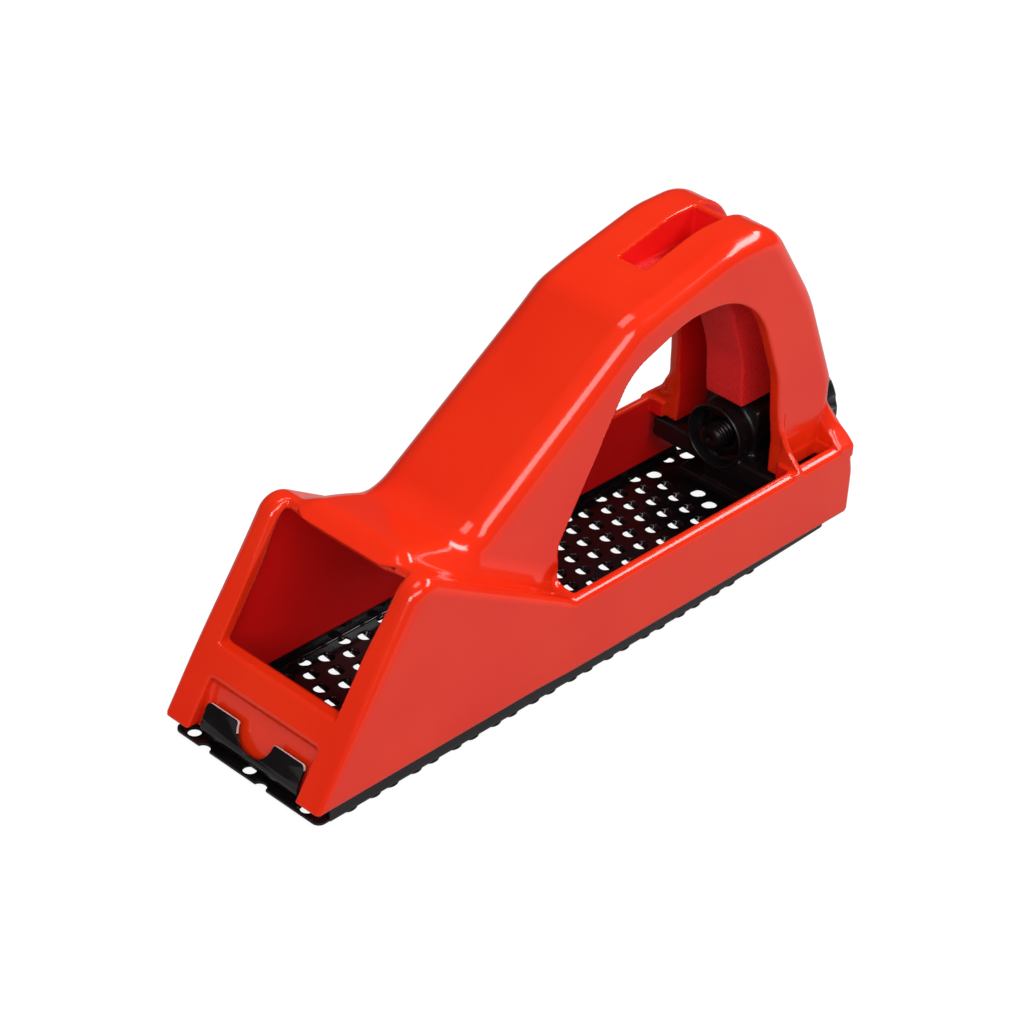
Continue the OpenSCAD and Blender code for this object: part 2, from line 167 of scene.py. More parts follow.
def drafting(x, y, z, sloped):
    """The drawing tools of a form at points x, y, z: outlines, slabs and pairs of leaning faces."""
    axes = (x, np.abs(y), z)
    side = np.sign(y)

    def line(points, plane=(0, 2)):
        value, *slopes = outline(points, axes[plane[0]], axes[plane[1]], sloped)
        if not sloped:
            return Form(value)
        slope = np.zeros((3,) + value.shape)
        for axis, s in zip(plane, slopes):
            slope[axis] = s * (side if axis == 1 else 1)
        return Form(value, slope)

    def slab(half, middle=0.0):
        off = axes[1] - middle
        if not sloped:
            return Form(np.abs(off) - half)
        slope = np.zeros((3,) + off.shape)
        slope[1] = np.sign(off) * side
        return Form(np.abs(off) - half, slope)

    def leaning(half, height, lean):
        size = 1 / np.sqrt(1 + lean * lean)
        value = (axes[1] - (half - lean * (axes[2] - height))) * size
        if not sloped:
            return Form(value)
        slope = np.zeros((3,) + value.shape)
        slope[1], slope[2] = side * size, lean * size
        return Form(value, slope)

    return line, slab, leaning


def outer_form(x, y, z, sloped):
    """The body's outside: the hood and walls, the handle, and the feet of its cheeks."""
    line, slab, leaning = drafting(x, y, z, sloped)
    nose = 1 - ramp(x, 56, 71)
    edge = 0.5 + (0.7 + 1.6 * ramp(z, 8, 36)) * nose + 1.4 * ramp(z, 9, 15) * (1 - nose)
    hood = both(line(HOOD_LINE), slab(BODY_HALF), edge)
    edge = 4.3 + 1.3 * ramp(x, 34, 46) * (1 - ramp(x, 82, 100))
    handle = both(line(HANDLE_LINE), leaning(HANDLE_HALF, 30, .02), edge)
    form = joined(hood, handle, 0.4 + (1.4 + 2.8 * ramp(x, 29, 42)) * (1 - ramp(x, 74, 80)))
    flare = line(FLARE_LINE, (1, 2))
    deck = both(flare, line([(148.5, 12, 0), (148.5, 36, 0), (BODY_L, 36, 0), (BODY_L, 12, 0)]),
                .8 + 4.4 * ramp(z, 17.5, 26))
    web = both(flare, line([(133.8, 15.8, 0), (133.8, 40, 0), (137.0, 40, 0), (137.0, 15.8, 0)]), .6)
    return joined(joined(form, deck, .05), web, .05)


def hollows(x, y, z, sloped):
    """The trough, and the hollow of the handle."""
    line, slab, leaning = drafting(x, y, z, sloped)
    trough = line([(7.73, -8, 0), (11.54, 10, 0), (10.74, 12, 0), (26.6, 37.9, 2),
                   (69.2, 14.26, 1), (70.2, 17, 0), (70.2, 19, 0), (134.6, 19, 0),
                   (134.6, 13.3, 0), (150.9, 13.3, .5), (150.9, -8, 0)])
    inside = line([(29.7, 31, 0), (30.3, 37.4, 2), (47.1, 33.2, 6), (90, 63.8, 12),
                   (127.7, 70.6, 12), (150.9, 29.6, 2), (150.9, 11, 0), (60, 11, 0)])
    return (both(trough, leaning(18.9, RIM, .04), .3),
            both(inside, leaning(HANDLE_HALF - 2.6, 30, .02), .4))


def body_form(x, y, z, sloped):
    """The moulded body at points x, y, z in mm from the toe."""
    line, slab, leaning = drafting(x, y, z, sloped)
    form = outer_form(x, y, z, sloped)
    trough, inside = hollows(x, y, z, sloped)
    form = less(less(form, trough, .7), inside, .3)
    # inside: the rib, and the front bar behind the recess, that the blade's lip hooks round
    rib = both(line([(100.3, 25.3, 0), (100.3, 90, 0), (170, 90, 0), (170, 25.3, 0)]), slab(5.0), .4)
    under = line(HANDLE_LINE)
    under.value = under.value + .05
    form = joined(form, both(rib, under, .3), .3)
    bar = both(line([(6.0, -2.1, .6), (4.7, -1.6, 1.0), (4.0, -.2, .4), (6.9, 8, 0), (11.5, 8, 0),
                      (8.7, -2.1, 0)]), slab(19.1), .2)
    form = joined(form, bar, .05)
    # openings
    form = less(form, both(line([(71.8, 13, 0)] + LOOP_LINE + [(135.6, 13, 0)]), slab(15.5), .05), .7)
    wide = line([(70.9, RIM + .04, 0)] + LOOP_LINE + [(135.6, RIM + .04, 0)])
    form = less(form, both(wide, slab(30), .01), .02 + .68 * ramp(z, 17.6, 21))
    well = both(line([(137.0, 40, 0), (137.0, 16.5, 1), (138.6, 12.3, 0), (148.5, 12.3, 0),
                      (148.5, 40, 0)]), slab(1.85, 16.95), .3)
    form = less(form, well, .5)
    low, high = front_x(15.0), front_x(39.3)
    window = line([(low - 8, 15.0, 0), (high - 8, 39.3, 0), (high + 2.6, 39.3, 0), (high + 3, 34, 0),
                   (low + 9, 15.0, 0)])
    corners = ramp(z, 25, 37) * ramp(np.abs(y), 9, 15.5)
    form = less(form, both(window, slab(15.8), .4), .4 + 1.5 * corners)
    recess = line([(-6, -8, 0), (-6, 9.6, 0), (6.27, 10.2, 0), (7.63, 8.2, 1.2), (3.2, -3.4, 0),
                   (3.2, -8, 0)])
    form = less(form, both(recess, slab(14.8), .8), .5)
    pocket = line([(101.8, 65.2, .8), (112, 65.2, 3), (118, 63.4, 3), (123.8, 59, .8),
                   (123.8, 90, 0), (101.8, 90, 0)])
    form = less(form, both(pocket, slab(3.5), .5), .6)
    slot = line([(125.3, 90, 0), (125.3, 58.6, 5), (137.2, 37, 16), (138.2, 27.3, 0),
                 (170, 27.3, 0), (170, 90, 0)])
    form = less(form, both(slot, slab(3.5), .5), .6)
    dz = z - AXIS_Z
    reach = np.maximum(np.hypot(y, dz), 1e-9)
    if sloped:
        zero = np.zeros_like(reach)
        bore = Form(reach - 3.08, np.stack([zero, y / reach, dz / reach]))
        rear = Form(145.0 - x, np.stack([zero - 1, zero, zero]))
    else:
        bore, rear = Form(reach - 3.08), Form(145.0 - x)
    return less(form, both(bore, rear, .01), .2)


def skin(value, low, step):
    """Points where a lattice of values changes sign, and a face across each such lattice edge."""
    inside = value < 0
    offsets = [(i, j, k) for k in (0, 1) for j in (0, 1) for i in (0, 1)]
    n = np.array(inside.shape) - 1

    def shifted(box, o):
        return box[o[0]:o[0] + n[0], o[1]:o[1] + n[1], o[2]:o[2] + n[2]]

    every = np.logical_and.reduce([shifted(inside, o) for o in offsets])
    some = np.logical_or.reduce([shifted(inside, o) for o in offsets])
    number = np.full(tuple(n), -1, np.int64)
    cells = np.argwhere(some & ~every)
    number[tuple(cells.T)] = np.arange(len(cells))
    corner = [value[tuple((cells + o).T)] for o in offsets]
    total, count = np.zeros((len(cells), 3)), np.zeros(len(cells))
    for a in range(8):
        for axis in range(3):
            b = a + (1 << axis)
            if a >> axis & 1:
                continue
            va, vb = corner[a], corner[b]
            cut = (va < 0) != (vb < 0)
            t = np.where(cut, va / np.where(cut, va - vb, 1), 0)
            point = np.array(offsets[a], float) + t[:, None] * (np.arange(3) == axis)
            total += np.where(cut[:, None], point, 0)
            count += cut
    points = low + (cells + total / count[:, None]) * step
    faces = []
    for axis in range(3):
        part, beyond = [slice(1, -1)] * 3, [slice(1, -1)] * 3
        part[axis], beyond[axis] = slice(None, -1), slice(1, None)
        a, b = inside[tuple(part)], inside[tuple(beyond)]
        at = np.argwhere(a != b)
        filled = a[a != b]
        at = at + (np.arange(3) != axis)
        one, two = (axis + 1) % 3, (axis + 2) % 3
        ring = []
        for d1, d2 in ((1, 1), (0, 1), (0, 0), (1, 0)):
            cell = at.copy()
            cell[:, one] -= d1
            cell[:, two] -= d2
            ring.append(number[tuple(cell.T)])
        ring = np.stack(ring, 1)
        ring[~filled] = ring[~filled][:, ::-1]
        faces.append(ring)
    return points, np.concatenate(faces)


def settled(form, points):
    """The points moved onto the form."""
    for _ in range(3):
        f = form(*points.T, True)
        size = np.maximum((f.slope ** 2).sum(0), .25)
        points = points - (f.slope * np.clip(f.value / size, -.3, .3)).T
    return points


def moulded(name, form, low, high, step, within=None):
    """A skin over a form, flat parts in large faces, with the form's own normals. Faces within
    its hollows take the second material."""
    axes = [np.arange(a, b + step, step, dtype=np.float32) for a, b in zip(low, high)]
    grid = form(axes[0][:, None, None], axes[1][None, :, None], axes[2][None, None, :], False).value
    points, faces = skin(np.ascontiguousarray(grid), np.array([a[0] for a in axes], float), step)
    points = settled(form, points)
    mesh = bpy.data.meshes.new(name)
    mesh.vertices.add(len(points))
    mesh.vertices.foreach_set("co", ((points + HOME) * MM).astype(np.float32).ravel())
    mesh.loops.add(faces.size)
    mesh.loops.foreach_set("vertex_index", faces.astype(np.int32).ravel())
    mesh.polygons.add(len(faces))
    mesh.polygons.foreach_set("loop_start", np.arange(0, faces.size, 4, dtype=np.int32))
    mesh.polygons.foreach_set("loop_total", np.full(len(faces), 4, np.int32))
    mesh.update(calc_edges=True)
    piece = bpy.data.objects.new(name, mesh)
    bpy.context.scene.collection.objects.link(piece)
    only(piece)
    thin = piece.modifiers.new("flats", "DECIMATE")
    thin.decimate_type = "DISSOLVE"
    thin.angle_limit = radians(0.15)
    bpy.ops.object.modifier_apply(modifier=thin.name)
    mesh = piece.data
    co = np.empty(len(mesh.vertices) * 3, np.float32)
    mesh.vertices.foreach_get("co", co)
    slope = form(*(co.reshape(-1, 3).astype(float) / MM - HOME).T, True).slope
    normals = (slope / np.maximum(np.sqrt((slope ** 2).sum(0)), 1e-9)).T
    mesh.shade_smooth()
    mesh.normals_split_custom_set_from_vertices(normals.tolist())
    if within:
        middle = np.empty(len(mesh.polygons) * 3, np.float32)
        mesh.polygons.foreach_get("center", middle)
        place = (middle.reshape(-1, 3).astype(float) / MM - HOME).T
        # faces near the hollows take the second material; on the body that is the inside, painted a deeper
        # red for the light within
        near_it = np.minimum(*[f.value for f in within(*place, False)]) < .12
        mesh.polygons.foreach_set("material_index", near_it.astype(np.int32))
    return piece


# ---------------------------------------------------------------- work at the bench
def clear():
    for o in bpy.context.selected_objects:
        o.select_set(False)


def only(o):
    clear()
    o.select_set(True)
    bpy.context.view_layer.objects.active = o


def at(x, y=0.0, z=0.0):
    """A place in mm from the toe and above the lower edge, in the part's frame."""
    return tuple(((np.array([x, y, z]) + HOME) * MM).tolist())


def settle(o, name):
    """The piece with its place, turn and size taken into its mesh."""
    only(o)
    bpy.ops.object.transform_apply(location=True, rotation=True, scale=True)
    o.name = name
    return o


def tidy(o):
    """Doubled points merged and every face looking outward."""
    only(o)
    bpy.ops.object.mode_set(mode="EDIT")
    bpy.ops.mesh.select_all(action="SELECT")
    bpy.ops.mesh.remove_doubles(threshold=2e-6)
    bpy.ops.mesh.normals_make_consistent(inside=False)
    bpy.ops.object.mode_set(mode="OBJECT")
    return o


def chosen(o, test):
    """Edit mode with the points chosen whose place in mm passes a test."""
    only(o)
    bpy.ops.object.mode_set(mode="EDIT")
    bpy.ops.mesh.select_mode(type="VERT")
    bpy.ops.mesh.select_all(action="DESELECT")
    bpy.ops.object.mode_set(mode="OBJECT")
    co = np.empty(len(o.data.vertices) * 3, np.float32)
    o.data.vertices.foreach_get("co", co)
    x, y, z = (co.reshape(-1, 3) / MM - HOME).T
    o.data.vertices.foreach_set("select", np.asarray(test(x, y, z)) & np.ones(len(x), bool))
    bpy.ops.object.mode_set(mode="EDIT")


def cut_across(o, place, normal):
    """A row of edges round the piece where a plane crosses it."""
    only(o)
    bpy.ops.object.mode_set(mode="EDIT")
    bpy.ops.mesh.select_all(action="SELECT")
    bpy.ops.mesh.bisect(plane_co=at(*place), plane_no=normal)
    bpy.ops.object.mode_set(mode="OBJECT")


def bent(o, pivot, angle, test):
    """The chosen points turned about a line across the tool; the angle lifts them."""
    chosen(o, test)
    bpy.ops.transform.rotate(value=-angle, orient_axis="Y", center_override=at(*pivot))
    bpy.ops.object.mode_set(mode="OBJECT")


def arcs(points, steps=6):
    """A corner list (a, b, radius) as a row of points."""
    row = []
    for start, end, centre, radius in rounded(points):
        u, w = start - centre, end - centre
        turn = atan2(u[0] * w[1] - u[1] * w[0], u @ w)
        n = steps if radius > 0.1 else 1
        for k in range(n + 1):
            c, s = cos(turn * k / n), sin(turn * k / n)
            row.append(centre + (c * u[0] - s * u[1], s * u[0] + c * u[1]))
    return row


def drawn(name, row, axis, start, length):
    """A flat outline drawn across an axis and pulled along it."""
    place = {"x": lambda a, b: (start, a, b), "y": lambda a, b: (a, start, b),
             "z": lambda a, b: (a, b, start)}[axis]
    mesh = bpy.data.meshes.new(name)
    mesh.from_pydata([at(*place(*p)) for p in row], [], [list(range(len(row)))])
    o = bpy.data.objects.new(name, mesh)
    bpy.context.scene.collection.objects.link(o)
    only(o)
    bpy.ops.object.mode_set(mode="EDIT")
    bpy.ops.mesh.select_all(action="SELECT")
    pull = [length * MM * (a == axis) for a in "xyz"]
    bpy.ops.mesh.extrude_region_move(TRANSFORM_OT_translate={"value": pull})
    bpy.ops.object.mode_set(mode="OBJECT")
    return tidy(o)


def turned(name, row, closed, steps=96, cover=2 * pi):
    """A row of (x, radius) points spun round the screw's axis."""
    mesh = bpy.data.meshes.new(name)
    edges = [(i, i + 1) for i in range(len(row) - 1)] + ([(len(row) - 1, 0)] if closed else [])
    mesh.from_pydata([at(x, 0, AXIS_Z + r) for x, r in row], edges, [])
    o = bpy.data.objects.new(name, mesh)
    bpy.context.scene.collection.objects.link(o)
    only(o)
    bpy.ops.object.mode_set(mode="EDIT")
    bpy.ops.mesh.select_all(action="SELECT")
    bpy.ops.mesh.spin(steps=steps, angle=cover, center=at(0, 0, AXIS_Z), axis=(1, 0, 0))
    bpy.ops.object.mode_set(mode="OBJECT")
    return tidy(o)


def with_modifier(o, kind, **settings):
    """The piece with a modifier set and applied."""
    only(o)
    m = o.modifiers.new(kind.lower(), kind)
    for key, value in settings.items():
        setattr(m, key, value)
    bpy.ops.object.modifier_apply(modifier=m.name)
    return o


def carved(o, tool, operation="DIFFERENCE"):
    """The piece cut by a tool, which is used up."""
    with_modifier(o, "BOOLEAN", operation=operation, object=tool, solver="EXACT")
    bpy.data.objects.remove(tool)
    return o


def combined(name, pieces):
    """Several pieces as one mesh, under a name."""
    clear()
    for p in pieces:
        p.select_set(True)
    bpy.context.view_layer.objects.active = pieces[0]
    bpy.ops.object.join()
    pieces[0].name = name
    return pieces[0]


def softened(o, width, angle=35, segments=2):
    """Edges sharper than an angle broken by a small round."""
    return with_modifier(o, "BEVEL", width=width * MM, segments=segments, limit_method="ANGLE",
                         angle_limit=radians(angle), harden_normals=True)


def fitted(o, material, body, node, smooth=35):
    """The finished piece dressed, set on its moving body and in its node's place."""
    only(o)
    if smooth:
        bpy.ops.object.shade_smooth_by_angle(angle=radians(smooth))
    for m in material if isinstance(material, list) else [material]:
        o.data.materials.append(m)
    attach(o, body)
    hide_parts(node)
    return o


# ---------------------------------------------------------------- materials
def colour(code):
    """An sRGB hex value as linear red, green, blue and alpha."""
    parts = [int(code[i:i + 2], 16) / 255 for i in (1, 3, 5)]
    return [p / 12.92 if p <= 0.04045 else ((p + 0.055) / 1.055) ** 2.4 for p in parts] + [1.0]


def add(tree, kind, settings=None, links=None):
    """Adds a node; settings are its properties or sockets, links its inputs."""
    made = tree.nodes.new(kind)
    for key, value in (settings or {}).items():
        if isinstance(key, str) and hasattr(made, key):
            setattr(made, key, value)
        else:
            made.inputs[key].default_value = value
    for key, source in (links or {}).items():
        tree.links.new(source, made.inputs[key])
    return made


def started(name):
    """An empty material with its shader, and the piece's own coordinates in mm."""
    material = bpy.data.materials.new(name)
    material.use_nodes = True
    tree = material.node_tree
    tree.nodes.clear()
    shader = add(tree, "ShaderNodeBsdfPrincipled")
    add(tree, "ShaderNodeOutputMaterial", None, {0: shader.outputs[0]})
    own = add(tree, "ShaderNodeTexCoord").outputs["Object"]
    mm = add(tree, "ShaderNodeVectorMath", {"operation": "SCALE", "Scale": 1000.0},
             {0: own}).outputs[0]
    return material, tree, shader, mm


def speckle(tree, mm, size, detail=3.0):
    """Noise whose patches are about a size in mm."""
    return add(tree, "ShaderNodeTexNoise", {"Scale": 1 / size, "Detail": detail},
               {"Vector": mm}).outputs[0]


def between_values(tree, source, low, high, start=0.3, end=0.7):
    """A value spread from low to high as the source goes from start to end."""
    return add(tree, "ShaderNodeMapRange", {"From Min": start, "From Max": end, "To Min": low,
                                            "To Max": high}, {0: source}).outputs[0]


def two_colours(tree, source, low, high):
    mix = add(tree, "ShaderNodeMix", {"data_type": "RGBA"})
    mix.inputs[6].default_value, mix.inputs[7].default_value = colour(low), colour(high)
    tree.links.new(source, mix.inputs[0])
    return mix.outputs[2]


def relief(tree, height, depth, under=None):
    """A bump of a depth in mm."""
    links = {"Height": height}
    if under:
        links["Normal"] = under
    return add(tree, "ShaderNodeBump", {"Strength": 1.0, "Distance": depth * MM}, links).outputs[0]


def times(tree, a, b):
    return add(tree, "ShaderNodeMath", {"operation": "MULTIPLY"}, {0: a, 1: b}).outputs[0]


def near(tree, mm, place, reach):
    """One at a place in mm from the toe, falling to nought at a reach from it."""
    spot = [a + b for a, b in zip(place, HOME.tolist())]
    far = add(tree, "ShaderNodeVectorMath", {"operation": "DISTANCE", 1: spot}, {0: mm}).outputs[1]
    return between_values(tree, far, 1.0, 0.0, reach * 0.6, reach)


def moulded_abs(name, low, high, gloss, dull):
    # Glossy injection-moulded plastic: deep orange-red, a faint orange peel in the gloss,
    # eroded steel's grain on the rib, and the rough stubs where the sprues were cut off.
    # Inside it is duller, and its deeper red is painted light: a painted red glow standing in for the
    # light that passes through the thin walls and bounces within.
    material, tree, shader, mm = started(name)
    flow = speckle(tree, mm, 28, 2)
    tree.links.new(two_colours(tree, between_values(tree, flow, 0, 1), low, high),
                   shader.inputs["Base Color"])
    x, y, z = (add(tree, "ShaderNodeSeparateXYZ", None, {0: mm}).outputs[i] for i in range(3))
    side = add(tree, "ShaderNodeMath", {"operation": "ABSOLUTE"}, {0: y}).outputs[0]
    rib = times(tree, between_values(tree, side, 1, 0, 5.3, 5.6),
                times(tree, between_values(tree, x, 0, 1, 98 + HOME[0], 99 + HOME[0]),
                      between_values(tree, z, 1, 0, 69.8, 70.4)))
    gates = None
    for place, reach in (((135.6, 16.8, 20.6), 3.0), ((70.6, -17.2, 18.6), 2.2),
                         ((70.6, 17.2, 18.6), 2.2)):
        spot = near(tree, mm, place, reach)
        gates = spot if gates is None else add(tree, "ShaderNodeMath", {"operation": "MAXIMUM"},
                                               {0: gates, 1: spot}).outputs[0]
    grain = times(tree, speckle(tree, mm, 0.45, 4), rib)
    torn = times(tree, speckle(tree, mm, 0.9, 5), gates)
    peel = speckle(tree, mm, 1.1, 1.5)
    bump = relief(tree, torn, 0.9, relief(tree, grain, 0.35, relief(tree, peel, 0.006)))
    tree.links.new(bump, shader.inputs["Normal"])
    rough = add(tree, "ShaderNodeMath", {"operation": "MULTIPLY_ADD", 1: 0.3},
                {0: rib, 2: between_values(tree, speckle(tree, mm, 9), gloss, dull)})
    tree.links.new(rough.outputs[0], shader.inputs["Roughness"])
    shader.inputs["IOR"].default_value = 1.53
    return material


def plain_finish(name, low, high, patch, rough, grain, depth, metal=0.0, lines=None):
    """A finish of two close colours in patches, a roughness range and a fine relief."""
    material, tree, shader, mm = started(name)
    spread = between_values(tree, speckle(tree, mm, patch), 0, 1)
    tree.links.new(two_colours(tree, spread, low, high), shader.inputs["Base Color"])
    tree.links.new(between_values(tree, speckle(tree, mm, patch * 0.4), *rough),
                   shader.inputs["Roughness"])
    height = speckle(tree, mm, grain)
    if lines:
        rings = add(tree, "ShaderNodeTexWave", {"wave_type": "RINGS", "rings_direction": "X",
                                                "Scale": 1 / lines, "Distortion": 1.5})
        shift = add(tree, "ShaderNodeVectorMath",
                    {"operation": "SUBTRACT", 1: (0, 0, AXIS_Z + HOME[2])}, {0: mm})
        tree.links.new(shift.outputs[0], rings.inputs["Vector"])
        height = rings.outputs[1]
    tree.links.new(relief(tree, height, depth), shader.inputs["Normal"])
    shader.inputs["Metallic"].default_value = metal
    return material


def lacquered_steel():
    # Stoved black lacquer on spring steel: wet-looking gloss, thin over every punched edge,
    # with the teeth's points rubbed to bare metal.
    material, tree, shader, mm = started("stoved black lacquer on steel")
    z = add(tree, "ShaderNodeSeparateXYZ", None, {0: mm}).outputs[2]
    worn = times(tree, between_values(tree, z, 1, 0, 0.06, 0.2),
                 between_values(tree, speckle(tree, mm, 0.7), 0, 1, 0.3, 0.5))
    dark = two_colours(tree, between_values(tree, speckle(tree, mm, 12), 0, 1), "#0D0A0C", "#161215")
    mix = add(tree, "ShaderNodeMix", {"data_type": "RGBA"})
    tree.links.new(worn, mix.inputs[0])
    tree.links.new(dark, mix.inputs[6])
    mix.inputs[7].default_value = colour("#8F8B86")
    tree.links.new(mix.outputs[2], shader.inputs["Base Color"])
    tree.links.new(worn, shader.inputs["Metallic"])
    tree.links.new(between_values(tree, speckle(tree, mm, 3), 0.12, 0.24), shader.inputs["Roughness"])
    tree.links.new(relief(tree, speckle(tree, mm, 1.6, 2), 0.02), shader.inputs["Normal"])
    return material


# Sheared steel edges of the lips, bare where the lacquer draws back from the corner; their near-white
# colour with little metal is a painted highlight along the cut edges.
def sheared_steel_painted_bright():
    return plain_finish("sheared steel edge, painted highlight", "#D2CFCA", "#EBE8E3", 1.5, (0.25, 0.4), 0.15, 0.02, 0.3)


# Satin black paint over die-cast zinc: a little brown in the black, with the casting's grain.
def painted_casting():
    return plain_finish("satin black on die-cast zinc", "#0B080A", "#130F12", 8, (0.3, 0.44), 0.5, 0.035)


# Blackened steel of the screw and nut: dark oxide with an oily, uneven sheen.
def blackened_steel():
    return plain_finish("blackened steel", "#1B1517", "#332B2D", 2.5, (0.28, 0.42), 0.3, 0.01, 0.85)


# Zinc-plated washer, with the fine rings of its turning.
def zinc_plate():
    return plain_finish("bright zinc plate", "#B4B6B8", "#D2D4D6", 3, (0.22, 0.34), 0.3, 0.008, 1.0, 0.6)


# Black moulded nylon of the knob, softly shiny with a fine eroded grain.
def knob_nylon():
    return plain_finish("black moulded nylon", "#0C0B0C", "#141315", 6, (0.28, 0.38), 0.35, 0.02)


# ---------------------------------------------------------------- the moulded body
body = moulded("moulded_body", body_form, (-1, -23, -4), (156, 23, 80), 0.5,
               hollows)
# the inside finish is painted a deeper red: a painted glow standing in for the light inside the thin walls
fitted(body, [moulded_abs("moulded ABS, signal red", "#E4260C", "#EA3010", 0.1, 0.16),
              moulded_abs("moulded ABS, inside painted deeper red", "#E60A0C", "#EE100E", 0.42, 0.5)],
       "plane", "body", smooth=0)

# ---------------------------------------------------------------- the punched blade
UNDER, TOP, SHEET = -3.4, -2.8, 0.6  # the sheet's two faces and its thickness
BLADE_X1, BLADE_X2, RISE_X = 2.0, 147.4, 100.0  # its ends, and where it starts to rise
PITCH_X, PITCH_Y = 10.73, 15.65  # the lattice of teeth, along and across
HOLE_R, TURN = 1.45, radians(-22)
ARC = radians(84)  # a tooth's root runs this far round its hole, both ways
BEND_Y = 18.7  # past this a hole lies against the turned-up side
LIP_HALF, NOTCH, LIP_FLAT = 13.3, 4.85, 3.96  # the lip's half width, its notch, its flat end
LIP_X, LIP_BEND, LIP_LEAN = 6.1, 3.1, radians(116)
REAR_X = 145.6  # where the rear lip's bend starts
RISE = atan2(1.5, BLADE_X2 - RISE_X)


def teeth_places(reach):
    """Hole centres of the slanting rows, out to a distance from the middle line."""
    for i in range(-14, 15):
        for j in range(-14, 61):
            x = 3.4 + (4 * j - i) * PITCH_X / 7
            y = -7.6 + (j - 2 * i) * PITCH_Y / 7
            if abs(y) < reach and 7.5 < x < BLADE_X2 - (6 if abs(y) < 16 else 1.2):
                if not (abs(y) < LIP_HALF + 1.5 and x > BLADE_X2 - 9.4):
                    yield x, y


def depth_round(angle):
    """How far the lip is pressed down at an angle from its middle: whole, then fading out."""
    return max(0.0, cos(angle / ARC * pi / 2)) ** 0.6


def tooth_mesh():
    """The curled lip beside a hole, drawn round its root in nine strips. Its depth fades
    towards both ends of the root, which rings extruded from a circle can't follow."""
    rows = [(2.12, -0.03), (1.85, -0.1), (1.62, -0.38), (1.38, -0.82), (1.14, -1.12), (1.16, -1.4),
            (1.5, -1.27), (1.85, -0.88), (2.16, -0.57)]
    points, faces = [], []
    strips = 9
    for k in range(strips + 1):
        angle = ARC * (2 * k / strips - 1)
        f = depth_round(angle)
        for m, (r, z) in enumerate(rows):
            # where the tooth has faded out, its upper points lie on the sheet's top, the rest under it
            rest = -0.02 if z > -0.5 and m < 5 else -0.58
            reach = HOLE_R + (r - HOLE_R) * f
            points.append((reach * cos(angle), reach * sin(angle), rest + (z - rest) * f))
    n = len(rows)
    for k in range(strips):
        for m in range(n - 1):
            a = k * n + m
            faces.append((a, a + n, a + n + 1, a + 1))
    return points, faces


